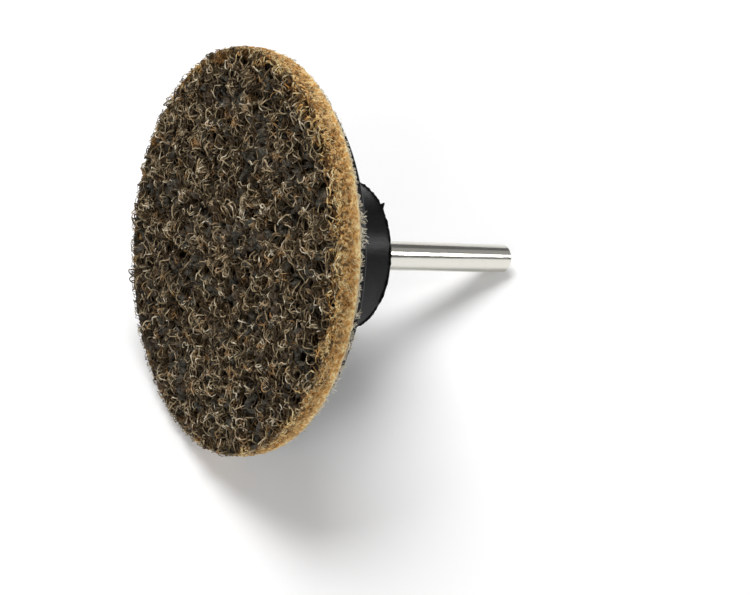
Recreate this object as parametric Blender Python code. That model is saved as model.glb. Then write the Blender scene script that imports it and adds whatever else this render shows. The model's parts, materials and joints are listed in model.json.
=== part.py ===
"""Surface conditioning disc, 75 mm, screwed on a rubber holder pad with a plain steel shank.

Every piece is modelled along the tool's own axis. The distance s runs from the abrasive face,
where it is 0, to the free end of the shank. The tool then lies on the floor as it comes to
rest unheld: on the rim of its scrim and on the end of its shank.
"""
import math

import bmesh
import bpy
from mathutils import Vector, noise

# Clearances
BOND_GAP = 0.0003
SEAT_GAP = 0.0003
THREAD_CLEARANCE = 0.00035

# Abrasive web: an open non-woven disc
DISC_DIAMETER = 0.075
WEB_THICKNESS = 0.0046
WEB_CELLS = 48
FACE_RELIEF = 0.0012
RIM_RELIEF = 0.0006
RELIEF_SCALE = 0.0027
RIM_ROUNDING = 0.0003

# Woven scrim on the back of the web
CLOTH_THICKNESS = 0.0004
YARN_HEIGHT = 0.0003
YARN_WIDTH = 0.0010
YARN_PITCH = 0.0020
SELVAGE_WIDTH = 0.0011
CLOTH_SEGMENTS = 144

# Moulded button: a flange bonded to the scrim, and a coarse-threaded stud
BUTTON_DIAMETER = 0.0310
BUTTON_THICKNESS = 0.0010
BUTTON_EDGE = 0.0003
STUD_HEIGHT = 0.0065
STUD_CORE_DIAMETER = 0.0064
STUD_NOSE = 0.0012
STUD_NOSE_CHAMFER = 0.0003
STUD_DIMPLE_DIAMETER = 0.0044
STUD_DIMPLE_DEPTH = 0.0004
THREAD_DIAMETER = 0.0095
THREAD_PITCH = 0.0038
THREAD_FADE = 0.0009
THREAD_ROWS = 18
THREAD_SEGMENTS = 36

# Moulded rubber holder pad: a lip, a low cone and a hub
LIP_DIAMETER = 0.0688
LIP_THICKNESS = 0.0022
LIP_EDGE = 0.0004
CONE_RISE = 0.0053
HUB_DIAMETER = 0.0290
HUB_FILLET = 0.0020
HUB_EDGE = 0.0003
FLASH_WIDTH = 0.0005
FLASH_THICKNESS = 0.0003
PAD_HEIGHT = 0.0224
PAD_SEGMENTS = 64

# Steel insert, moulded into the hub
INSERT_DIAMETER = 0.0160
INSERT_LENGTH = 0.0163
INSERT_GROOVE_DEPTH = 0.0010
INSERT_GROOVE_WIDTH = 0.0030
INSERT_SHOULDER = 0.0060
INSERT_CHAMFER = 0.0004

# Steel shank, pressed into the insert
SHANK_DIAMETER = 0.0060
SHANK_REACH = 0.0411
SHANK_GRIP = 0.0076
SHANK_CHAMFER = 0.0007
SHANK_SEGMENTS = 48

# Small flat that the rim of the scrim gets where the tool lies on it
REST_FLAT_WIDTH = 0.0080

# Places along the axis
S_SCRIM = WEB_THICKNESS + BOND_GAP
S_CLOTH_BACK = S_SCRIM + CLOTH_THICKNESS
S_YARN_BACK = S_CLOTH_BACK + YARN_HEIGHT
S_BUTTON = S_YARN_BACK + BOND_GAP
S_FLANGE_BACK = S_BUTTON + BUTTON_THICKNESS
S_STUD_TOP = S_FLANGE_BACK + STUD_HEIGHT
S_PAD = S_YARN_BACK + SEAT_GAP
S_LIP_BACK = S_PAD + LIP_THICKNESS
S_CONE_TOP = S_LIP_BACK + CONE_RISE
S_HUB_BACK = S_PAD + PAD_HEIGHT
S_INSERT = S_FLANGE_BACK + SEAT_GAP
S_INSERT_BACK = S_INSERT + INSERT_LENGTH
S_SHANK = S_INSERT_BACK - SHANK_GRIP
S_SHANK_END = S_HUB_BACK + SHANK_REACH

# Radii that several pieces share
DISC_RADIUS = DISC_DIAMETER / 2
BUTTON_RADIUS = BUTTON_DIAMETER / 2
INSERT_RADIUS = INSERT_DIAMETER / 2
SHANK_RADIUS = SHANK_DIAMETER / 2

# How the tool lies: the floor touches the scrim's flat and the edge of the shank's end
REST_FLAT_DEPTH = DISC_RADIUS - math.sqrt(DISC_RADIUS ** 2 - (REST_FLAT_WIDTH / 2) ** 2)
REST_RADIUS = DISC_RADIUS - REST_FLAT_DEPTH
REST_LEVER = S_SHANK_END - SHANK_CHAMFER - S_CLOTH_BACK
LYING_ANGLE = math.atan2(REST_RADIUS - SHANK_RADIUS, REST_LEVER)


def clear_scene():
    """Remove whatever the file opened with."""
    for item in list(bpy.data.objects):
        bpy.data.objects.remove(item)


def finish(color, roughness, metallic, name):
    """A plain material with the piece's colour and gloss."""
    material = bpy.data.materials.new(name)
    material.use_nodes = True
    shader = material.node_tree.nodes["Principled BSDF"]
    shader.inputs["Base Color"].default_value = (*color, 1.0)
    shader.inputs["Roughness"].default_value = roughness
    shader.inputs["Metallic"].default_value = metallic
    return material


def add_piece(name, bm, material, axis, crease_angle=35):
    """Turn a bmesh into a named object that hangs on the tool's axis."""
    bmesh.ops.recalc_face_normals(bm, faces=bm.faces)
    mesh = bpy.data.meshes.new(name)
    bm.to_mesh(mesh)
    bm.free()
    mesh.materials.append(material)
    mesh.shade_smooth()
    mesh.set_sharp_from_angle(angle=math.radians(crease_angle))
    piece = bpy.data.objects.new(name, mesh)
    bpy.context.collection.objects.link(piece)
    piece.parent = axis


def ring(bm, radius, s, segments):
    """One ring of vertices about the axis. The radius may be a function of the turn angle."""
    verts = []
    for step in range(segments):
        turn = 2 * math.pi * step / segments
        r = radius(turn) if callable(radius) else radius
        verts.append(bm.verts.new((r * math.cos(turn), r * math.sin(turn), s)))
    return verts


def join_rings(bm, first, second):
    """Close the wall between two rings with quads."""
    count = len(first)
    for step in range(count):
        after = (step + 1) % count
        bm.faces.new((first[step], first[after], second[after], second[step]))


def turned(profile, segments, through=False):
    """Turn a profile of (radius, s) points about the axis.

    A profile that goes through the piece, such as a sleeve's, closes on its own start. Any
    other profile starts and ends in a flat face across the axis.
    """
    bm = bmesh.new()
    rings = [ring(bm, radius, s, segments) for radius, s in profile]
    for first, second in zip(rings, rings[1:]):
        join_rings(bm, first, second)
    if through:
        join_rings(bm, rings[-1], rings[0])
    else:
        bm.faces.new(rings[0])
        bm.faces.new(rings[-1])
    return bm


def fillet(radius, s, size, start, end, steps=5):
    """Points (radius, s) of an arc about a centre, between two angles in degrees."""
    points = []
    for step in range(steps + 1):
        angle = math.radians(start + (end - start) * step / steps)
        points.append((radius + size * math.cos(angle), s + size * math.sin(angle)))
    return points


def thread_radius(s, extra):
    """Radius of the coarse thread at s, as a function of the turn angle.

    The rib has a flat crest and root with sloping flanks, and it fades in at the flange and
    out below the plain nose of the stud. The socket has the same form, larger by extra.
    """
    rib_height = (THREAD_DIAMETER - STUD_CORE_DIAMETER) / 2
    thread_end = S_STUD_TOP - STUD_NOSE
    fade = min(1.0, max(0.0, (thread_end - s) / THREAD_FADE))

    def radius(turn):
        wave = math.cos(2 * math.pi * (s - S_FLANGE_BACK) / THREAD_PITCH - turn)
        rib = min(1.0, max(0.0, 0.5 + 1.1 * wave))
        return STUD_CORE_DIAMETER / 2 + rib_height * rib * fade + extra

    return radius


def thread_wall(start, end, extra):
    """Rings (radius, s) of the thread's wall between two places on the axis."""
    wall = []
    for row in range(THREAD_ROWS + 1):
        s = start + (end - start) * row / THREAD_ROWS
        wall.append((thread_radius(s, extra), s))
    return wall


def floor_limit(s):
    """How far a piece may reach down, square to the axis, before it meets the floor."""
    return REST_RADIUS - (s - S_CLOTH_BACK) * math.tan(LYING_ANGLE)


def relief(place):
    """Height of the curled fibres at a place, from 0 in a pore to 1 on a curl."""
    coarse = noise.noise(place / RELIEF_SCALE)
    fine = noise.noise(place * (2.3 / RELIEF_SCALE))
    return min(1.0, max(0.0, 0.55 + 1.3 * coarse + 0.6 * fine))


def round_the_grid(x, y):
    """Move a point of the square from -1 to 1 to its place in the unit disc, evenly spread."""
    if abs(x) < 1e-9 and abs(y) < 1e-9:
        return 0.0, 0.0
    if abs(x) > abs(y):
        reach, turn = x, math.pi / 4 * y / x
    else:
        reach, turn = y, math.pi / 2 - math.pi / 4 * x / y
    return reach * math.cos(turn), reach * math.sin(turn)


def roughen_face(bm):
    """Pull the square grid round, and sink pores into it between the curls."""
    for vert in bm.verts:
        x, y = round_the_grid(vert.co.x, vert.co.y)
        place = Vector((x, y, 0.0)) * DISC_RADIUS
        place.z = FACE_RELIEF * (1 - relief(place))
        vert.co = place


def roughen_rim(verts, s, inset):
    """Set one row of rim vertices at s, drawn in by the fibres' relief and by an inset."""
    for vert in verts:
        turn = math.atan2(vert.co.y, vert.co.x)
        nominal = Vector((math.cos(turn), math.sin(turn), 0.0)) * DISC_RADIUS
        nominal.z = s
        drawn_in = RIM_RELIEF * (1 - relief(nominal)) + inset
        place = nominal * ((DISC_RADIUS - drawn_in) / DISC_RADIUS)
        vert.co = (min(place.x, floor_limit(s)), place.y, s)


def make_abrasive_web(axis):
    """The non-woven web, with its curled face, its felted rim and a flat back."""
    bm = bmesh.new()
    bmesh.ops.create_grid(bm, x_segments=WEB_CELLS, y_segments=WEB_CELLS, size=1.0)
    rim = [edge for edge in bm.edges if edge.is_boundary]
    roughen_face(bm)
    roughen_rim({vert for edge in rim for vert in edge.verts}, RIM_ROUNDING, RIM_ROUNDING)
    for share in (0.3, 0.65, 1.0):
        grown = bmesh.ops.extrude_edge_only(bm, edges=rim)["geom"]
        rim = [item for item in grown if isinstance(item, bmesh.types.BMEdge) and item.is_boundary]
        roughen_rim({vert for edge in rim for vert in edge.verts}, WEB_THICKNESS * share, 0.0)
    bmesh.ops.contextual_create(bm, geom=rim)
    brown = finish((0.20, 0.14, 0.085), 0.95, 0.0, "brown_web")
    add_piece("abrasive_web", bm, brown, axis, crease_angle=60)


def make_scrim_backing(axis):
    """The woven scrim: a thin cloth whose warp yarns stand up as ridges on its back."""
    profile = [(DISC_RADIUS, S_SCRIM), (DISC_RADIUS, S_CLOTH_BACK)]
    bm = turned(profile, CLOTH_SEGMENTS)
    for vert in bm.verts:
        vert.co.x = min(vert.co.x, floor_limit(vert.co.z))
    reach = DISC_RADIUS - SELVAGE_WIDTH
    count = int(reach / YARN_PITCH)
    for yarn in range(-count, count + 1):
        for side in (-0.5, 0.5):
            cut_at = Vector((yarn * YARN_PITCH + side * YARN_WIDTH, 0, 0))
            geometry = bm.verts[:] + bm.edges[:] + bm.faces[:]
            bmesh.ops.bisect_plane(bm, geom=geometry, plane_co=cut_at, plane_no=(1, 0, 0))
    raise_yarns(bm)
    cream = finish((0.72, 0.62, 0.45), 0.9, 0.0, "cream_scrim")
    add_piece("scrim_backing", bm, cream, axis)


def raise_yarns(bm):
    """Raise the strips of the cloth's back that lie under a warp yarn."""
    for face in list(bm.faces):
        middle = face.calc_center_bounds()
        nearest = round(middle.x / YARN_PITCH) * YARN_PITCH
        on_back = abs(middle.z - S_CLOTH_BACK) < CLOTH_THICKNESS / 4
        inside = abs(nearest) + YARN_WIDTH / 2 < DISC_RADIUS - SELVAGE_WIDTH / 2
        if on_back and inside and abs(middle.x - nearest) < YARN_WIDTH / 4:
            top = bmesh.ops.extrude_discrete_faces(bm, faces=[face])["faces"]
            bmesh.ops.translate(bm, verts=top[0].verts, vec=(0, 0, YARN_HEIGHT))


def make_button(axis):
    """The moulded button: a thin flange and a stud with one coarse rib wound round it."""
    rim = BUTTON_RADIUS
    nose = STUD_CORE_DIAMETER / 2
    dimple = STUD_DIMPLE_DIAMETER / 2
    profile = [(rim - BUTTON_EDGE, S_BUTTON), (rim, S_BUTTON + BUTTON_EDGE)]
    profile += [(rim, S_FLANGE_BACK - BUTTON_EDGE), (rim - BUTTON_EDGE, S_FLANGE_BACK)]
    profile += thread_wall(S_FLANGE_BACK, S_STUD_TOP - STUD_NOSE_CHAMFER, 0.0)
    profile += [(nose - STUD_NOSE_CHAMFER, S_STUD_TOP), (dimple, S_STUD_TOP)]
    profile += [(dimple, S_STUD_TOP - STUD_DIMPLE_DEPTH)]
    black = finish((0.025, 0.025, 0.027), 0.45, 0.0, "black_plastic")
    add_piece("button", turned(profile, THREAD_SEGMENTS), black, axis)


def make_threaded_insert(axis):
    """The steel insert: the stud's socket in front, the shank's bore behind."""
    socket_floor = S_STUD_TOP + SEAT_GAP
    bore = SHANK_RADIUS + SEAT_GAP
    bore_floor = S_SHANK - SEAT_GAP
    groove_start = S_INSERT + INSERT_SHOULDER
    groove_end = groove_start + INSERT_GROOVE_WIDTH
    groove = INSERT_RADIUS - INSERT_GROOVE_DEPTH
    corner = INSERT_RADIUS - INSERT_CHAMFER
    profile = list(reversed(thread_wall(S_INSERT, socket_floor, THREAD_CLEARANCE)))
    profile += [(corner, S_INSERT), (INSERT_RADIUS, S_INSERT + INSERT_CHAMFER)]
    profile += [(INSERT_RADIUS, groove_start), (groove, groove_start)]
    profile += [(groove, groove_end), (INSERT_RADIUS, groove_end)]
    profile += [(INSERT_RADIUS, S_INSERT_BACK - INSERT_CHAMFER), (corner, S_INSERT_BACK)]
    profile += [(bore, S_INSERT_BACK), (bore, bore_floor)]
    zinc = finish((0.60, 0.59, 0.56), 0.35, 1.0, "plated_steel")
    add_piece("threaded_insert", turned(profile, THREAD_SEGMENTS), zinc, axis)


def pad_outside():
    """Outside of the holder pad, from its front edge over lip, cone and hub to its back."""
    lip = LIP_DIAMETER / 2
    hub = HUB_DIAMETER / 2
    slope = math.atan2(CONE_RISE, lip - hub)
    arc_centre = S_CONE_TOP + HUB_FILLET * (math.tan((math.pi / 2 - slope) / 2))
    flash_back = S_HUB_BACK - HUB_EDGE
    points = [(lip - LIP_EDGE, S_PAD), (lip, S_PAD + LIP_EDGE)]
    points += [(lip, S_LIP_BACK - LIP_EDGE), (lip - LIP_EDGE, S_LIP_BACK)]
    points += fillet(hub + HUB_FILLET, arc_centre, HUB_FILLET, -90 - math.degrees(slope), -180)
    points += [(hub, flash_back - FLASH_THICKNESS), (hub + FLASH_WIDTH, flash_back - FLASH_THICKNESS)]
    points += [(hub + FLASH_WIDTH, flash_back), (hub, flash_back), (hub - HUB_EDGE, S_HUB_BACK)]
    return points


def pad_inside():
    """Inside of the holder pad, from the shank's hole back to the recess for the button."""
    hole = SHANK_RADIUS + SEAT_GAP
    pocket = INSERT_RADIUS + SEAT_GAP
    neck = pocket - INSERT_GROOVE_DEPTH
    groove_start = S_INSERT + INSERT_SHOULDER + SEAT_GAP
    groove_end = groove_start + INSERT_GROOVE_WIDTH - 2 * SEAT_GAP
    recess = BUTTON_RADIUS + SEAT_GAP
    points = [(hole, S_HUB_BACK), (hole, S_INSERT_BACK + SEAT_GAP)]
    points += [(pocket, S_INSERT_BACK + SEAT_GAP), (pocket, groove_end)]
    points += [(neck, groove_end), (neck, groove_start), (pocket, groove_start)]
    points += [(pocket, S_INSERT), (recess, S_INSERT), (recess, S_PAD)]
    return points


def make_backing_pad(axis):
    """The moulded rubber holder pad, one ring right round the insert and the shank."""
    profile = pad_outside() + pad_inside()
    rubber = finish((0.018, 0.018, 0.020), 0.5, 0.0, "black_rubber")
    add_piece("backing_pad", turned(profile, PAD_SEGMENTS, through=True), rubber, axis)


def make_shank(axis):
    """The plain round shank, with a chamfer at each end."""
    tip = SHANK_RADIUS - SHANK_CHAMFER
    profile = [(tip, S_SHANK), (SHANK_RADIUS, S_SHANK + SHANK_CHAMFER)]
    profile += [(SHANK_RADIUS, S_SHANK_END - SHANK_CHAMFER), (tip, S_SHANK_END)]
    steel = finish((0.72, 0.70, 0.66), 0.22, 1.0, "polished_steel")
    add_piece("shank", turned(profile, SHANK_SEGMENTS), steel, axis)


def add_axis():
    """The tool's axis, lying down: the shank points to +X and slopes to the floor.

    The origin is under the middle of the whole tool, on the floor.
    """
    height = S_CLOTH_BACK * math.sin(LYING_ANGLE) + REST_RADIUS * math.cos(LYING_ANGLE)
    face_rim = DISC_RADIUS - RIM_ROUNDING
    leftmost = RIM_ROUNDING * math.cos(LYING_ANGLE) - face_rim * math.sin(LYING_ANGLE)
    tip = SHANK_RADIUS - SHANK_CHAMFER
    rightmost = S_SHANK_END * math.cos(LYING_ANGLE) + tip * math.sin(LYING_ANGLE)
    axis = bpy.data.objects.new("tool_axis", None)
    bpy.context.collection.objects.link(axis)
    axis.rotation_euler = (0.0, math.pi / 2 + LYING_ANGLE, 0.0)
    axis.location = (-(leftmost + rightmost) / 2, 0.0, height)
    return axis


clear_scene()
tool_axis = add_axis()
make_abrasive_web(tool_axis)
make_scrim_backing(tool_axis)
make_button(tool_axis)
make_threaded_insert(tool_axis)
make_backing_pad(tool_axis)
make_shank(tool_axis)
bpy.context.view_layer.update()
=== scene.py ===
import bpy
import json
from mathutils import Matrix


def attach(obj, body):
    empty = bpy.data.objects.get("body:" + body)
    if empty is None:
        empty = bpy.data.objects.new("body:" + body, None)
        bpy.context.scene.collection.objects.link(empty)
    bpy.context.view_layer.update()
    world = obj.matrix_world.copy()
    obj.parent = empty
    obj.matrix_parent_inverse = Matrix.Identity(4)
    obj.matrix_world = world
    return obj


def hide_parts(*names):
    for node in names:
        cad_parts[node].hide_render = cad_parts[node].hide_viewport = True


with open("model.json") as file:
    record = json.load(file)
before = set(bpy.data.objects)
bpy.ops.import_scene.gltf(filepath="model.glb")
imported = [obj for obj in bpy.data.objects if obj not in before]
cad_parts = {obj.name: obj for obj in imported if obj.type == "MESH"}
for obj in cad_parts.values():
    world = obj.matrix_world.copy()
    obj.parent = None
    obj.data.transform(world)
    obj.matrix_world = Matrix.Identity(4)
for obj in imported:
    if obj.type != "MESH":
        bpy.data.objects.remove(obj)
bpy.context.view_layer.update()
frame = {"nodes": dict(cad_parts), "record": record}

import json
import math

import bpy
import numpy as np
from mathutils import Matrix, Vector
from mathutils.kdtree import KDTree

# How the tool lies.
# The tool rests unheld on the rim of its scrim and on the end of its shank. Its pieces are made
# along its own axis, with s from the abrasive face to the shank's end, and are then laid down.
TOOL_LENGTH = 0.0694
shank_end = frame["record"]["mounts"][0]
along = Vector(shank_end["axis"]).normalized()
across = Vector((0.0, 1.0, 0.0))
turned_down = Matrix((across.cross(along), across, along)).transposed()
face_centre = Vector(shank_end["pos_m"]) - along * TOOL_LENGTH
laid_down = Matrix.Translation(face_centre) @ turned_down.to_4x4()


def pick_none():
    """Leave every object unselected, so that an operator acts only on what is made next."""
    bpy.ops.object.select_all(action="DESELECT")


def lay_down(piece):
    """Put a piece that was made along the tool's axis where it lies, with its place in its mesh."""
    piece.data.transform(laid_down)
    piece.data.update()


def belongs(piece, slot, *nodes):
    """Fix a finished piece to the tool, and hide the solids that it stands for."""
    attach(piece, "root")
    if nodes:
        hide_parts(*nodes)


# The photograph's camera.
# It looks down on the abrasive face from the left, with the shank pointing to the right.
CAMERA_PLACE = (-0.07511, -0.18260, 0.20780)
CAMERA_TURN = (44.841, 3.960, -28.323)
CAMERA_LENS = 66.33
pick_none()
bpy.ops.object.camera_add(location=CAMERA_PLACE, rotation=[math.radians(a) for a in CAMERA_TURN])
camera = bpy.context.object
camera.data.lens = CAMERA_LENS
camera.data.sensor_width = 36
camera.data.clip_start = 0.01
bpy.context.scene.camera = camera

# Abrasive web, its mass.
# The real web is nylon fibre, blown into a lofty mat and set with dark resin and grain. The
# mass below the loose fibres is one lumpy body with deep pores, die-cut to a round disc.
DISC_RADIUS = 0.0375
WEB_THICKNESS = 0.0046
BOND = 0.0002
LOFT = 0.0002
RIM_WIDTH = 0.0022
PORES = 480
PORE_SMALL = 0.0005
PORE_WIDE = 0.0014
PORE_DEPTH = 0.0020
PORE_DIP = 0.0006
PORE_EDGE = 1.6
WHOLE_BACK = 0.0005
BACK_FADE = 0.0010
CUT_STEPS = 256
VOXEL = 0.00037
RESIN = (0.094, 0.087, 0.066, 1)
RESIN_BROWN = (0.125, 0.078, 0.040, 1)
RESIN_GRAIN = (0.020, 0.013, 0.006, 1)
# Near-black painted shade for the deep pores and hollows of the mass.
PORE_SHADE = (0.018, 0.008, 0.002, 1)
FELT = (0.810, 0.490, 0.162, 1)
FELT_PALE = (0.950, 0.770, 0.405, 1)
FELT_ORANGE = (0.600, 0.285, 0.072, 1)
FELT_CREAM = (0.900, 0.780, 0.530, 1)
# Dark brown for the felt: painted shade in its pits and hollows.
FELT_PIT_SHADE = (0.120, 0.055, 0.018, 1)
FELT_SIDE = (-0.028, -0.021, 0.0)
FELT_RAGGED = 0.006
FELT_INNER = 0.0018
FELT_OUTER = 0.0006
FELT_FRONT = 0.0010
PIT_OUTER = 0.00022
PIT_INNER = 0.00055


class Wire:
    """One output of a shader node. Arithmetic on it adds Math nodes."""

    def __init__(self, finish, socket):
        self.finish = finish
        self.socket = socket

    def math(self, operation, *values):
        return self.finish.node("ShaderNodeMath", {"operation": operation}, values)

    def __add__(self, other):
        return self.math("ADD", self, other)

    def __radd__(self, other):
        return self.math("ADD", other, self)

    def __sub__(self, other):
        return self.math("SUBTRACT", self, other)

    def __rsub__(self, other):
        return self.math("SUBTRACT", other, self)

    def __mul__(self, other):
        return self.math("MULTIPLY", self, other)

    def __rmul__(self, other):
        return self.math("MULTIPLY", other, self)

    def ramp(self, start, end):
        """A smooth step from 0 at start to 1 at end, where end may also be the lower of the two."""
        settings = {"interpolation_type": "SMOOTHSTEP"}
        return self.finish.node("ShaderNodeMapRange", settings, {0: self, 1: start, 2: end})


class Finish:
    """One procedural material, built round a Principled shader."""

    def __init__(self, name, **constants):
        self.material = bpy.data.materials.new(name)
        self.material.use_nodes = True
        self.tree = self.material.node_tree
        self.shader = self.tree.nodes["Principled BSDF"]
        for socket, value in constants.items():
            self.shader.inputs[socket.replace("_", " ")].default_value = value

    def node(self, kind, settings=None, inputs=(), output=0):
        """Add a node: its settings first, then the values or links of its sockets."""
        made = self.tree.nodes.new(kind)
        for setting, value in (settings or {}).items():
            setattr(made, setting, value)
        named = inputs.items() if isinstance(inputs, dict) else enumerate(inputs)
        for socket, value in named:
            self.feed(made.inputs[socket], value)
        return Wire(self, made.outputs[output])

    def feed(self, socket, value):
        """Give a socket a link or a plain value."""
        if isinstance(value, Wire):
            self.tree.links.new(value.socket, socket)
        else:
            socket.default_value = value

    def mix(self, factor, first, second):
        """Blend two colours, through the Mix node's sockets for colours."""
        settings = {"data_type": "RGBA", "clamp_factor": True}
        return self.node("ShaderNodeMix", settings, {0: factor, 6: first, 7: second}, 2)

    def tool_place(self):
        """Where a point lies in the tool's own frame: down, across and along the axis."""
        spot = self.node("ShaderNodeTexCoord", output="Object")
        inputs = {"Vector": spot, "Location": face_centre, "Rotation": turned_down.to_euler()}
        return self.node("ShaderNodeMapping", {"vector_type": "TEXTURE"}, inputs)

    def split(self, place):
        """A point's s and its distance from the axis."""
        s = self.node("ShaderNodeSeparateXYZ", None, [place], "Z")
        flat = self.node("ShaderNodeVectorMath", {"operation": "MULTIPLY"}, [place, (1, 1, 0)])
        return s, self.node("ShaderNodeVectorMath", {"operation": "LENGTH"}, [flat], "Value")

    def noise(self, place, size, detail=2.0, roughness=0.5):
        """A soft noise from 0 to 1 whose lumps measure about size."""
        inputs = {"Vector": place, "Scale": 1 / size, "Detail": detail, "Roughness": roughness}
        return self.node("ShaderNodeTexNoise", None, inputs)

    def felt_share(self, place, s, radius):
        """Where the golden felt of the rim shows: its border is ragged, and wider on one side."""
        pair = [place, FELT_SIDE]
        side = self.node("ShaderNodeVectorMath", {"operation": "DOT_PRODUCT"}, pair, "Value")
        ragged = (self.noise(place, 0.003, 2) - 0.5) * FELT_RAGGED + side
        outer = (radius + ragged).ramp(DISC_RADIUS - FELT_INNER, DISC_RADIUS - FELT_OUTER)
        return outer * (s + ragged * 0.6).ramp(0.0, FELT_FRONT)

    def felt_color(self, place, s, tone):
        """The felt's gold by tone: more orange halfway through it, dark brown in noise spots that are
        painted shade of pits, and cream at its back.
        """
        felt = self.mix(tone.ramp(0.10, 0.50), FELT_ORANGE, FELT)
        felt = self.mix(tone.ramp(0.38, 0.70), felt, FELT_PALE)
        halfway = s.ramp(0.0010, 0.0020) * s.ramp(0.0042, 0.0032)
        felt = self.mix(halfway * 0.30, felt, FELT_ORANGE)
        # Dark brown noise spots, fewer towards the back: painted shade of pits in the felt.
        pit_shade = self.noise(place, 0.0008, 2).ramp(0.50, 0.42) * s.ramp(0.0046, 0.0010)
        felt = self.mix(pit_shade * 0.9, felt, FELT_PIT_SHADE)
        return self.mix(s.ramp(0.0040, 0.0046) * 0.7, felt, FELT_CREAM)

    def bump(self, height, distance):
        """Raise the surface by height times distance."""
        normal = self.node("ShaderNodeBump", None, {"Height": height, "Distance": distance})
        self.feed(self.shader.inputs["Normal"], normal)

    def paint(self, **sockets):
        """Feed what changes over the surface to the shader."""
        for socket, value in sockets.items():
            self.feed(self.shader.inputs[socket.replace("_", " ")], value)
        return self.material


def spread_on_disc(rng, count, radius):
    """Points scattered evenly on the disc."""
    reach = radius * np.sqrt(rng.uniform(0, 1, count))
    turn = rng.uniform(0, 2 * np.pi, count)
    return np.stack([reach * np.cos(turn), reach * np.sin(turn)], 1)


pore_rng = np.random.default_rng(5)
pore_middles = spread_on_disc(pore_rng, PORES, DISC_RADIUS - PORE_WIDE)
pore_sizes = pore_rng.uniform(PORE_SMALL, PORE_WIDE, PORES)
pore_tree = KDTree(PORES)
for number, (x, y) in enumerate(pore_middles):
    pore_tree.insert((x, y, 0.0), number)
pore_tree.balance()


def nearest_pore(flat):
    """The middle and the size of the pore that is nearest to each flat point."""
    found = [pore_tree.find((x, y, 0.0))[1] for x, y in flat.reshape(-1, 2)]
    shape = flat.shape[:-1]
    return pore_middles[found].reshape(*shape, 2), pore_sizes[found].reshape(shape)


def sink(piece, name, where, depth, size, contrast):
    """Sink a piece's surface where a vertex group says so, by a clouded pattern."""
    clouds = bpy.data.textures.new(name, "CLOUDS")
    clouds.noise_scale = size
    clouds.noise_depth = 2
    clouds.contrast = contrast
    hollows = piece.modifiers.new(name, "DISPLACE")
    hollows.texture = clouds
    hollows.texture_coords = "LOCAL"
    hollows.vertex_group = where
    hollows.mid_level = 1.0
    hollows.strength = depth
    bpy.ops.object.modifier_apply(modifier=hollows.name)


def mark(piece, name, share):
    """Write a share from 0 to 1 for each vertex, in tenths, into a vertex group."""
    group = piece.vertex_groups.new(name=name)
    for step in range(11):
        chosen = np.flatnonzero(np.round(share * 10) == step)
        group.add(chosen.tolist(), step / 10, "REPLACE")


def make_web_mass():
    pick_none()
    bpy.ops.mesh.primitive_cylinder_add(
        vertices=CUT_STEPS, radius=DISC_RADIUS, depth=WEB_THICKNESS + BOND - LOFT,
        location=(0, 0, (WEB_THICKNESS + BOND + LOFT) / 2))
    mass = bpy.context.object
    mass.name = "web_mass"
    bpy.ops.object.transform_apply(location=True)
    blocks = mass.modifiers.new("blocks", "REMESH")
    blocks.mode = "VOXEL"
    blocks.voxel_size = VOXEL
    bpy.ops.object.modifier_apply(modifier=blocks.name)
    place = np.array([vertex.co for vertex in mass.data.vertices])
    radius = np.hypot(place[:, 0], place[:, 1])
    inside = np.clip((DISC_RADIUS - radius) / RIM_WIDTH, 0, 1)
    front = np.clip((WEB_THICKNESS - WHOLE_BACK - place[:, 2]) / BACK_FADE, 0, 1)
    middle, size = nearest_pore(place[:, :2])
    away = np.linalg.norm(place[:, :2] - middle, axis=1)
    place[:, 2] += PORE_DEPTH * np.exp(-(away / size) ** 3) * inside * front
    mass.data.vertices.foreach_set("co", place.ravel())
    mark(mass, "face", inside * front)
    mark(mass, "skin", front)
    sink(mass, "hollows", "face", depth=0.0012, size=0.0012, contrast=2.6)
    sink(mass, "lumps", "face", depth=0.0009, size=0.0035, contrast=2.0)
    sink(mass, "crumbs", "skin", depth=0.0006, size=0.0005, contrast=1.8)
    mass.vertex_groups.clear()
    bpy.ops.object.shade_smooth()
    lay_down(mass)
    return mass


def web_finish():
    web = Finish("resin_and_felt", Specular_IOR_Level=0.25)
    place = web.tool_place()
    s, radius = web.split(place)
    patchy = web.noise(place, 0.0035, 3)
    grain = web.noise(place, 0.0006, 3)
    film = web.mix(patchy.ramp(0.45, 0.65), RESIN, RESIN_BROWN)
    film = web.mix(grain.ramp(0.62, 0.40) * 0.8, film, RESIN_GRAIN)
    # Deeper than one to two millimetres the resin film turns near-black: painted shade in the pores
    # and hollows.
    face = web.mix(s.ramp(0.0010, 0.0022), film, PORE_SHADE)
    # Where the felt lies more than a few tenths of a millimetre in from the cut edge, it is darkened
    # to deep brown: painted shade in the rim's hollows.
    hollow = radius.ramp(DISC_RADIUS - PIT_OUTER, DISC_RADIUS - PIT_INNER)
    felt = web.mix(hollow * 0.9, web.felt_color(place, s, grain * 2.5 - 0.75), FELT_PIT_SHADE)
    at_rim = web.felt_share(place, s, radius)
    web.bump(grain, 0.0004)
    return web.paint(Base_Color=web.mix(at_rim, face, felt), Roughness=0.35 + at_rim * 0.5)


web_mass = make_web_mass()
web_mass.data.materials.append(web_finish())
belongs(web_mass, "web", "abrasive_web")

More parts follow.
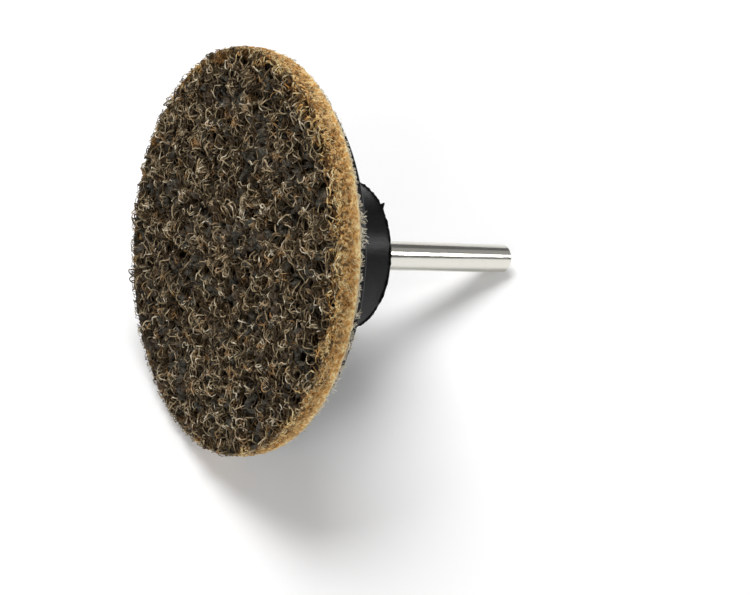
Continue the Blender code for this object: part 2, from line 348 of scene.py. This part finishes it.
# Abrasive web, its loose fibres.
# Crimped nylon fibres arch out of the resin all over the face, in loops two to four millimetres
# wide. At the rim they were cut and pressed flat, and are golden there because the resin is thin.
FIBRE_RADIUS = 0.00012
CLUMP = 0.0013
ROOT_DEPTH = 0.0013
FACE_FIBRES = 2200
FACE_POINTS = 13
FACE_KINK = 1100
FACE_MARGIN = 0.0005
FACE_EDGE = 0.0002
FACE_WAVE = 0.0008
FACE_SCATTER = 0.0003
RIM_FIBRES = 3200
RIM_POINTS = 6
RIM_KINK = 1200
RIM_WAVE = 0.0005
RIM_SWING = 0.0002
RIM_PROUD = 0.0001
RIM_SUNK = 0.0003
NEAR_AXIS = (0.05, 0.02, 1.0)
# The first colour is that of the dark fibres, and also painted shade on fibres deep in the mass.
FIBRE_DARK_AND_SHADE = (0.055, 0.031, 0.010, 1)
FIBRE_TAN = (0.450, 0.345, 0.200, 1)
# The palest colour is partly pale fibre and partly painted glints.
FIBRE_PALE_AND_GLINT = (0.890, 0.810, 0.640, 1)
FIBRE_AMBER = (0.430, 0.220, 0.070, 1)


def curl(rng, count, points, step, bend, kink):
    """Flat crimped paths that start at 0: each has a bend of its own and a kink at every step."""
    turn = rng.normal(0, bend, (count, 1)) + rng.normal(0, kink, (count, points))
    heading = rng.uniform(0, 2 * np.pi, (count, 1)) + (turn * step).cumsum(1)
    steps = np.stack([np.cos(heading), np.sin(heading)], 2) * step
    path = steps.cumsum(1)
    return path - path[:, :1]


def tubes(name, paths, width, height, sides=3, shades=None):
    """One mesh of tubes with an oval section along paths in the tool's frame, ends closed.

    A tube's width lies square to a line that is almost the axis, along which no path runs.
    """
    count, points, _ = paths.shape
    tangent = np.gradient(paths, axis=1)
    tangent /= np.linalg.norm(tangent, axis=2, keepdims=True)
    side = np.cross(tangent, NEAR_AXIS)
    side /= np.linalg.norm(side, axis=2, keepdims=True)
    upward = np.cross(side, tangent)
    corners = []
    for corner in range(sides):
        angle = 2 * np.pi * (corner + 0.5) / sides
        beside = side * np.cos(angle) * width[:, None, None]
        above = upward * np.sin(angle) * height[:, None, None]
        corners.append(paths + beside + above)
    verts = np.stack(corners, 2).reshape(-1, 3)
    start = np.arange(count)[:, None, None] * points * sides
    ring = np.arange(points - 1)[None, :, None] * sides
    around = np.arange(sides)[None, None, :]
    here = start + ring + around
    next_to = start + ring + (around + 1) % sides
    walls = np.stack([here, here + sides, next_to + sides, next_to], 3).reshape(-1, 4)
    first = np.arange(count)[:, None] * points * sides + np.arange(sides)
    last = first[:, ::-1] + (points - 1) * sides
    mesh = bpy.data.meshes.new(name)
    mesh.from_pydata(verts.tolist(), [], walls.tolist() + first.tolist() + last.tolist())
    if shades is not None:
        attribute = mesh.attributes.new("shade", "FLOAT", "POINT")
        attribute.data.foreach_set("value", np.repeat(shades, points * sides).astype(np.float32))
    mesh.shade_smooth()
    piece = bpy.data.objects.new(name, mesh)
    bpy.context.scene.collection.objects.link(piece)
    lay_down(piece)
    return piece


def clumps_on_disc(rng, count, radius):
    """Points on the disc that gather in clumps of about five, with bare film between them."""
    middles = spread_on_disc(rng, count // 5, radius)
    return middles[rng.integers(0, len(middles), count)] + rng.normal(0, CLUMP / 2, (count, 2))


def round_the_pores(flat):
    """Push flat points out of the pores, so that fibres run round them and dip at their edges."""
    middle, size = nearest_pore(flat)
    offset = flat - middle
    away = np.linalg.norm(offset, axis=-1)
    pushed = (away ** 4 + size ** 4) ** 0.25
    dip = PORE_DIP * np.clip((PORE_EDGE - pushed / size) / (PORE_EDGE - 1), 0, 1)
    return middle + offset * (pushed / away)[..., None], dip


def floor_reach(s):
    """How far down, square to the axis, a fibre may reach at s before it meets the floor."""
    height = face_centre.z + along.z * s
    return (height - 2 * FIBRE_RADIUS) / math.sqrt(1 - along.z ** 2)


def keep_off_floor(paths):
    """Press back the fibres on which the tool lies."""
    paths[..., 0] = np.minimum(paths[..., 0], floor_reach(paths[..., 2]))
    return paths


def face_fibres(name, seed, step, depth, swing, bend):
    """Fibres that arch up to about depth, with both ends rooted in the mass below."""
    count, points = FACE_FIBRES, FACE_POINTS
    rng = np.random.default_rng(seed)
    flat = curl(rng, count, points, step, bend, FACE_KINK)
    middles = clumps_on_disc(rng, count, DISC_RADIUS - FACE_MARGIN)
    flat += middles[:, None, :] - flat.mean(1, keepdims=True)
    flat, dip = round_the_pores(flat)
    reach = np.linalg.norm(flat, axis=2, keepdims=True)
    flat *= np.minimum(1, (DISC_RADIUS - FACE_EDGE) / reach)
    phase = rng.uniform(0, 2 * np.pi, (count, 1)) + np.arange(points) * step / FACE_WAVE
    own = rng.normal(depth, FACE_SCATTER, (count, 1))
    rooted = ROOT_DEPTH * rng.uniform(0.4, 1.2, (count, 1)) * np.linspace(-1, 1, points) ** 2
    s = own + rooted + dip + swing * np.sin(phase) * rng.uniform(0.4, 1.0, (count, 1))
    paths = keep_off_floor(np.concatenate([flat, s[..., None]], 2))
    size = FIBRE_RADIUS * rng.uniform(0.8, 1.25, count)
    return tubes(name, paths, size, size, shades=rng.uniform(0, 1, count))


def rim_fibres(name, seed, step, bend):
    """Short fibres that lie on the cut rim: turned round the axis by their flat path's length."""
    count, points = RIM_FIBRES, RIM_POINTS
    rng = np.random.default_rng(seed)
    flat = curl(rng, count, points, step, bend, RIM_KINK)
    turn = rng.uniform(0, 2 * np.pi, (count, 1)) + flat[..., 0] / DISC_RADIUS
    s = rng.uniform(0.0, WEB_THICKNESS, (count, 1)) + flat[..., 1]
    s = np.abs(s)
    s = WEB_THICKNESS - np.abs(WEB_THICKNESS - s)
    wave = np.sin(rng.uniform(0, 2 * np.pi, (count, 1)) + np.arange(points) * step / RIM_WAVE)
    reach = DISC_RADIUS - rng.uniform(-RIM_PROUD, RIM_SUNK, (count, 1)) + RIM_SWING * wave
    paths = np.stack([reach * np.cos(turn), reach * np.sin(turn), s], 2)
    size = FIBRE_RADIUS * rng.uniform(0.4, 0.7, count)
    return tubes(name, keep_off_floor(paths), size, size, shades=rng.uniform(0, 1, count))


def fibre_finish():
    fibre = Finish("nylon_fibre", Roughness=0.28, Specular_IOR_Level=0.25)
    place = fibre.tool_place()
    s, radius = fibre.split(place)
    shade = fibre.node("ShaderNodeAttribute", {"attribute_name": "shade"}, output="Fac")
    patchy = fibre.noise(place, 0.0025, 2)
    speckle = fibre.noise(place, 0.0010, 2)
    tone = shade * 0.7 + speckle * 1.0 + patchy * 0.8 - 0.73
    color = fibre.mix(tone.ramp(0.35, 0.80), FIBRE_DARK_AND_SHADE, FIBRE_TAN)
    # The top of the tone turns pale: partly pale fibre, partly painted glints.
    color = fibre.mix(tone.ramp(0.76, 1.00), color, FIBRE_PALE_AND_GLINT)
    color = fibre.mix(patchy.ramp(0.56, 0.68) * 0.6, color, FIBRE_AMBER)
    # Fibres that run deeper into the mass are darkened: painted shade.
    color = fibre.mix(s.ramp(0.0003, 0.0012) * 0.85, color, FIBRE_DARK_AND_SHADE)
    felt = fibre.felt_color(place, s, tone)
    at_rim = fibre.felt_share(place, s, radius)
    return fibre.paint(Base_Color=fibre.mix(at_rim, color, felt))


nylon = fibre_finish()
loose_fibres = [
    face_fibres("face_fibres_low", seed=11, step=0.00040, depth=0.0006, swing=0.0003, bend=500),
    face_fibres("face_fibres_mid", seed=12, step=0.00038, depth=0.0003, swing=0.0004, bend=600),
    face_fibres("face_fibres_top", seed=13, step=0.00036, depth=0.0001, swing=0.0004, bend=700),
    rim_fibres("rim_fibres", seed=14, step=0.00030, bend=500),
]
for piece in loose_fibres:
    piece.data.materials.append(nylon)
    belongs(piece, "web")

# Scrim.
# A woven cloth of cream yarns, bonded to the back of the web. At its cut edge the yarns' ends
# splay into tufts that lean back, shorter over a part of the edge.
YARN_PITCH = 0.0020
YARN_WIDTH = 0.00052
YARN_HEIGHT = 0.00017
YARN_SWING = 0.00018
YARN_POINTS = 149
SCRIM_MIDDLE = 0.00525
SCRIM_CUT = 0.0367
TUFTS = 118
TUFT_HAIRS = 14
TUFT_UNEVEN = 0.25
TUFT_SPREAD = 0.0005
HAIR_RADIUS = 0.00005
HAIR_SHORTEST = 0.0005
HAIR_LONGEST = 0.0019
HAIR_POINTS = 6
HAIR_FAN = 0.35
HAIR_SWAY = 0.0002
HAIR_LEAN = (-0.4, 0.1)
ROOT_OUTER = 0.0002
ROOT_INNER = 0.0010
ROOT_FRONT = 0.0003
SHORT_FROM = 170
SHORT_TO = 222
SHORT_SHARE = 0.35
YARN_CREAM = (0.920, 0.860, 0.710, 1)
# The darker cream serves both for soiled patches and for painted shade between the filaments.
YARN_SOIL_AND_SHADE = (0.640, 0.530, 0.360, 1)


def woven_yarns(name, direction):
    """All yarns that run one way. Each has the same number of points, closer on short yarns."""
    most = int(SCRIM_CUT / YARN_PITCH)
    places = np.arange(-most, most + 1) * YARN_PITCH
    places = places[np.abs(places) < SCRIM_CUT - YARN_WIDTH]
    half = np.sqrt(SCRIM_CUT ** 2 - places ** 2)
    share = np.linspace(-1, 1, YARN_POINTS)
    run = half[:, None] * share[None, :]
    over = np.where(np.arange(len(places)) % 2, 1.0, -1.0)[:, None] * direction
    s = SCRIM_MIDDLE + over * YARN_SWING * np.cos(np.pi * run / YARN_PITCH)
    beside = np.broadcast_to(places[:, None], run.shape)
    flat = (run, beside) if direction > 0 else (beside, run)
    paths = keep_off_floor(np.stack([*flat, s], 2))
    count = len(places)
    return tubes(name, paths, np.full(count, YARN_WIDTH), np.full(count, YARN_HEIGHT), sides=6)


def fringe(name, seed):
    """Tufts of hairs that fan out from the yarns' ends and lean back past the pad's lip."""
    rng = np.random.default_rng(seed)
    count = TUFTS * TUFT_HAIRS
    tuft = np.arange(TUFTS) + rng.normal(0, TUFT_UNEVEN, TUFTS)
    root = np.repeat(tuft, TUFT_HAIRS) * 2 * np.pi / TUFTS
    length = rng.uniform(HAIR_SHORTEST, HAIR_LONGEST, count)
    length *= np.repeat(rng.uniform(0.3, 1.0, TUFTS), TUFT_HAIRS)
    degrees = np.degrees(root) % 360
    length *= np.where((degrees > SHORT_FROM) & (degrees < SHORT_TO), SHORT_SHARE, 1.0)
    share = np.linspace(0, 1, HAIR_POINTS)[None, :]
    fan = rng.normal(0, HAIR_FAN, count)[:, None] * length[:, None] * share
    sway = rng.normal(0, HAIR_SWAY, count)[:, None] * np.sin(share * np.pi)
    turn = root[:, None] + (rng.normal(0, TUFT_SPREAD, count)[:, None] + fan + sway) / DISC_RADIUS
    outward = rng.uniform(*HAIR_LEAN, count)[:, None] * length[:, None] * share
    reach = DISC_RADIUS - rng.uniform(ROOT_OUTER, ROOT_INNER, count)[:, None] + outward
    s = SCRIM_MIDDLE - ROOT_FRONT + length[:, None] * share
    paths = keep_off_floor(np.stack([reach * np.cos(turn), reach * np.sin(turn), s], 2))
    size = HAIR_RADIUS * rng.uniform(0.7, 1.4, count)
    return tubes(name, paths, size, size)


def yarn_finish():
    yarn = Finish("cream_yarn", Roughness=0.8)
    place = yarn.tool_place()
    filaments = yarn.noise(place, 0.0004, 3)
    soiled = yarn.noise(place, 0.003, 2)
    color = yarn.mix(soiled.ramp(0.50, 0.75), YARN_CREAM, YARN_SOIL_AND_SHADE)
    yarn.bump(filaments, 0.0001)
    # Where the filaments' bumps are low the yarn is darkened: painted shade between the filaments.
    return yarn.paint(Base_Color=yarn.mix(filaments.ramp(0.25, 0.50), YARN_SOIL_AND_SHADE, color))


cream = yarn_finish()
warp = woven_yarns("scrim_warp", 1)
weft = woven_yarns("scrim_weft", -1)
hairs = fringe("scrim_fringe", 21)
for piece in (warp, weft, hairs):
    piece.data.materials.append(cream)
belongs(warp, "scrim", "scrim_backing")
belongs(weft, "scrim")
belongs(hairs, "scrim")

# Button.
# Injection-moulded black plastic, bonded to the scrim by its flange. It is hidden between the
# disc and the pad, and keeps its own solid.
BUTTON_BLACK = (0.030, 0.030, 0.032, 1)
BUTTON_WORN = (0.060, 0.060, 0.062, 1)
SOLID_CREASE = 35


def button_finish():
    plastic = Finish("moulded_plastic")
    place = plastic.tool_place()
    flow = plastic.noise(place, 0.004, 4)
    fine = plastic.noise(place, 0.0004, 2)
    plastic.bump(fine, 0.00004)
    color = plastic.mix(flow.ramp(0.4, 0.7), BUTTON_BLACK, BUTTON_WORN)
    return plastic.paint(Base_Color=color, Roughness=0.38 + flow * 0.2)


def dress(node, material):
    """Give a solid that is kept as it is its finish."""
    solid = frame["nodes"][node]
    solid.data.materials.clear()
    solid.data.materials.append(material)
    pick_none()
    solid.select_set(True)
    bpy.context.view_layer.objects.active = solid
    bpy.ops.object.shade_smooth_by_angle(angle=math.radians(SOLID_CREASE))


dress("button", button_finish())

# Threaded insert.
# Turned steel, plated, and moulded into the hub. It is hidden, and keeps its own solid.
ZINC = (0.600, 0.590, 0.560, 1)
ZINC_DULL = (0.420, 0.410, 0.380, 1)


def insert_finish():
    zinc = Finish("plated_steel", Metallic=1.0)
    place = zinc.tool_place()
    stain = zinc.noise(place, 0.003, 4)
    color = zinc.mix(stain.ramp(0.4, 0.7), ZINC, ZINC_DULL)
    return zinc.paint(Base_Color=color, Roughness=0.3 + stain * 0.2)


dress("threaded_insert", insert_finish())

# Holder pad.
# Black rubber, moulded in one piece round the insert and the shank: a lip that backs the disc,
# a low cone and a thick hub. The mould left a thin ragged flash at the hub's back edge.
LIP_RADIUS = 0.0344
LIP_FRONT = 0.0059
LIP_BACK = 0.0081
LIP_ROUNDING = 0.0004
CONE_TOP = 0.0134
HUB_RADIUS = 0.0145
HUB_FILLET = 0.0020
HUB_BACK = 0.0283
HUB_ROUNDING = 0.0004
RECESS_RADIUS = 0.0158
RECESS_FLOOR = 0.0072
POCKET_RADIUS = 0.0083
POCKET_BACK = 0.0238
SHANK_RADIUS = 0.0030
SHANK_PLAY = 0.00005
PAD_STEPS = 192
CREASE = 40
SAME_SPOT = 0.000001
RUBBER = (0.006, 0.006, 0.007, 1)
RUBBER_DUSTY = (0.018, 0.018, 0.020, 1)


def arc(radius, s, size, start, end, steps=6):
    """Points (radius, s) round a centre, from one angle to another in degrees."""
    angles = [math.radians(start + (end - start) * step / steps) for step in range(steps + 1)]
    return [(radius + size * math.cos(a), s + size * math.sin(a)) for a in angles]


def turned_piece(name, profile, steps):
    """Turn a profile of (radius, s) points: a circle is extruded and scaled from point to point.

    A profile that comes back to its start closes on itself. Otherwise its two ends are filled.
    """
    pick_none()
    radius, s = profile[0]
    bpy.ops.mesh.primitive_circle_add(vertices=steps, radius=radius, location=(0, 0, s))
    piece = bpy.context.object
    piece.name = name
    bpy.ops.object.transform_apply(location=True)
    bpy.ops.object.mode_set(mode="EDIT")
    bpy.ops.mesh.select_all(action="SELECT")
    for next_radius, next_s in profile[1:]:
        bpy.ops.mesh.extrude_region_move(TRANSFORM_OT_translate={"value": (0, 0, next_s - s)})
        share = next_radius / radius
        bpy.ops.transform.resize(value=(share, share, 1), center_override=(0, 0, 0))
        radius, s = next_radius, next_s
    bpy.ops.mesh.select_all(action="SELECT")
    bpy.ops.mesh.remove_doubles(threshold=SAME_SPOT)
    bpy.ops.mesh.fill_holes(sides=0)
    bpy.ops.mesh.normals_make_consistent(inside=False)
    bpy.ops.object.mode_set(mode="OBJECT")
    return piece


def smooth_and_lay(piece):
    """Shade the turned piece just made smooth, but for its creases, and lay it down."""
    bpy.ops.object.shade_smooth_by_angle(angle=math.radians(CREASE))
    lay_down(piece)
    return piece


def make_pad():
    slope = math.degrees(math.atan2(CONE_TOP - LIP_BACK, LIP_RADIUS - HUB_RADIUS))
    fillet_centre = CONE_TOP + HUB_FILLET * math.tan(math.radians(90 - slope) / 2)
    profile = arc(LIP_RADIUS - LIP_ROUNDING, LIP_FRONT + LIP_ROUNDING, LIP_ROUNDING, -90, 0)
    profile += arc(LIP_RADIUS - LIP_ROUNDING, LIP_BACK - LIP_ROUNDING, LIP_ROUNDING, 0, 90 - slope)
    profile += arc(HUB_RADIUS + HUB_FILLET, fillet_centre, HUB_FILLET, -90 - slope, -180, 10)
    profile += arc(HUB_RADIUS - HUB_ROUNDING, HUB_BACK - HUB_ROUNDING, HUB_ROUNDING, 0, 90)
    profile += [(SHANK_RADIUS + SHANK_PLAY, HUB_BACK), (SHANK_RADIUS + SHANK_PLAY, POCKET_BACK)]
    profile += [(POCKET_RADIUS, POCKET_BACK), (POCKET_RADIUS, RECESS_FLOOR)]
    profile += [(RECESS_RADIUS, RECESS_FLOOR), (RECESS_RADIUS, LIP_FRONT)]
    return smooth_and_lay(turned_piece("rubber_pad", profile + profile[:1], PAD_STEPS))


def rubber_finish():
    rubber = Finish("moulded_rubber", Specular_IOR_Level=0.20)
    place = rubber.tool_place()
    dust = rubber.noise(place, 0.006, 5, 0.6)
    skin = rubber.noise(place, 0.0005, 3)
    swirl = rubber.noise(place, 0.0022, 3)
    rubber.bump(skin * 0.6 + swirl * 0.4, 0.00006)
    color = rubber.mix(dust.ramp(0.50, 0.80), RUBBER, RUBBER_DUSTY)
    return rubber.paint(Base_Color=color, Roughness=0.22 + dust * 0.16)


rubber = rubber_finish()
pad = make_pad()
pad.data.materials.append(rubber)
belongs(pad, "pad_rubber", "backing_pad")

# Moulding flash.
# A skin of rubber that squeezed out where the mould closed round the hub's back edge, torn off
# by hand, so that its edge is ragged and one nub stands out.
FLASH_FRONT = 0.0277
FLASH_BACK = 0.0281
FLASH_EDGE = 0.0001
FLASH_REACH = 0.0004
FLASH_STEPS = 360
NUB_TURN = 196
NUB_REACH = 0.0011
NUB_WIDTH = 1.5


def make_flash():
    """A ring with its outer edge pulled out by a torn line, one step to a degree."""
    inner = HUB_RADIUS - HUB_ROUNDING
    profile = [(inner, FLASH_FRONT), (HUB_RADIUS, FLASH_FRONT + FLASH_EDGE)]
    profile += [(HUB_RADIUS, FLASH_BACK - FLASH_EDGE), (inner, FLASH_BACK)]
    flash = turned_piece("moulding_flash", profile + profile[:1], FLASH_STEPS)
    rng = np.random.default_rng(31)
    rough = np.convolve(rng.uniform(0, 1, FLASH_STEPS + 8), np.ones(3) / 3, "same")[4:-4]
    nub = NUB_REACH * np.exp(-((np.arange(FLASH_STEPS) - NUB_TURN) / NUB_WIDTH) ** 2)
    torn = FLASH_REACH * rough + nub
    place = np.array([vertex.co for vertex in flash.data.vertices])
    outer = np.hypot(place[:, 0], place[:, 1]) > HUB_RADIUS - HUB_ROUNDING / 2
    step = np.round(np.degrees(np.arctan2(place[:, 1], place[:, 0]))).astype(int) % FLASH_STEPS
    place[outer, :2] *= 1 + torn[step[outer], None] / HUB_RADIUS
    flash.data.vertices.foreach_set("co", place.ravel())
    lay_down(flash)
    return flash


flash = make_flash()
flash.data.materials.append(rubber)
belongs(flash, "pad_rubber")

# Shank.
# A 6 mm steel rod, ground and polished, with a small chamfer at each end. It is pressed into
# the insert and comes out through the back of the hub.
SHANK_START = 0.0159
SHANK_CHAMFER = 0.0007
SHANK_SOFT = 0.00008
SHANK_STEPS = 160
GRAIN_STRETCH = (1.0, 1.0, 0.06)
STEEL = (0.740, 0.724, 0.662, 1)
STEEL_DULL = (0.560, 0.542, 0.485, 1)


def make_shank():
    """The free end's chamfer has its edges broken, the hidden end's has not."""
    tip = SHANK_RADIUS - SHANK_CHAMFER
    chamfer = TOOL_LENGTH - SHANK_CHAMFER
    profile = [(tip, SHANK_START), (SHANK_RADIUS, SHANK_START + SHANK_CHAMFER)]
    profile += [(SHANK_RADIUS, chamfer - SHANK_SOFT), (SHANK_RADIUS - SHANK_SOFT, chamfer)]
    profile += [(tip + SHANK_SOFT, TOOL_LENGTH - SHANK_SOFT), (tip, TOOL_LENGTH)]
    return smooth_and_lay(turned_piece("steel_shank", profile, SHANK_STEPS))


def steel_finish():
    steel = Finish("polished_steel", Metallic=1.0)
    place = steel.tool_place()
    along_grain = steel.node("ShaderNodeVectorMath", {"operation": "MULTIPLY"}, [place, GRAIN_STRETCH])
    streaks = steel.noise(along_grain, 0.0004, 3)
    marks = steel.noise(place, 0.0030, 4)
    steel.bump(streaks, 0.000006)
    color = steel.mix(marks.ramp(0.50, 0.90) * 0.3, STEEL, STEEL_DULL)
    return steel.paint(Base_Color=color, Roughness=0.10 + streaks * 0.08)


shank = make_shank()
shank.data.materials.append(steel_finish())
belongs(shank, "shank_steel", "shank")

# Floor and light.
# A plain white table and a low white board behind it, under a large soft lamp. A low lamp on the
# right makes the steel's bright band, a dim one its grey band, and one in front lights the disc.
FLOOR_SIZE = 6.0
FLOOR_WHITE = (0.93, 0.93, 0.93, 1)
FLOOR_PALE = (0.91, 0.91, 0.91, 1)
FLOOR_GLOW = (0.12, 0.12, 0.12, 1)
NO_GLOW = (0, 0, 0, 1)
BOARD_PLACE = (0.50, 0.60, 0.075)
BOARD_TURN = 50
BOARD_WIDTH = 0.70
BOARD_HEIGHT = 0.15
LAMP_ABOVE = (0.10, 0.30, 0.80)
LAMP_RIGHT = (0.80, -0.44, 0.28)
LAMP_BESIDE = (1.00, -0.09, 0.42)
LAMP_FRONT = (-0.60, -0.50, 0.50)
AIM = (0.0, 0.0, 0.03)
WORLD_LIGHT = 0.15


def floor_finish():
    table = Finish("white_table", Roughness=0.9, Emission_Strength=1.0)
    seen = table.node("ShaderNodeLightPath", output="Is Camera Ray")
    for ray in ("Is Glossy Ray", "Is Transmission Ray"):
        seen = seen.math("MAXIMUM", seen, table.node("ShaderNodeLightPath", output=ray))
    mottle = table.noise(table.node("ShaderNodeTexCoord", output="Object"), 0.4, 2)
    glow = table.mix(seen, NO_GLOW, FLOOR_GLOW)
    return table.paint(Base_Color=table.mix(mottle, FLOOR_WHITE, FLOOR_PALE), Emission_Color=glow)


def add_lamp(name, place, size, power):
    aim = (Vector(AIM) - Vector(place)).to_track_quat("-Z", "Y").to_euler()
    bpy.ops.object.light_add(type="AREA", location=place, rotation=aim)
    lamp = bpy.context.object
    lamp.name = name
    lamp.data.shape = "SQUARE"
    lamp.data.size = size
    lamp.data.energy = power


pick_none()
bpy.ops.mesh.primitive_plane_add(size=FLOOR_SIZE)
floor = bpy.context.object
floor.name = "floor"
facing = (0, math.radians(-90), math.radians(BOARD_TURN))
bpy.ops.mesh.primitive_plane_add(size=1, location=BOARD_PLACE, rotation=facing)
board = bpy.context.object
board.name = "board"
board.scale = (BOARD_HEIGHT, BOARD_WIDTH, 1)
white = floor_finish()
for plain in (floor, board):
    plain.data.materials.append(white)
add_lamp("lamp_above", LAMP_ABOVE, size=0.5, power=6.0)
add_lamp("lamp_right", LAMP_RIGHT, size=0.22, power=1.4)
add_lamp("lamp_beside", LAMP_BESIDE, size=0.5, power=0.17)
add_lamp("lamp_front", LAMP_FRONT, size=0.5, power=2.7)
world = bpy.data.worlds.new("studio")
world.use_nodes = True
sky = world.node_tree.nodes["Background"]
sky.inputs["Color"].default_value = (1, 1, 1, 1)
sky.inputs["Strength"].default_value = WORLD_LIGHT
bpy.context.scene.world = world
bpy.context.scene.view_settings.view_transform = "Standard"
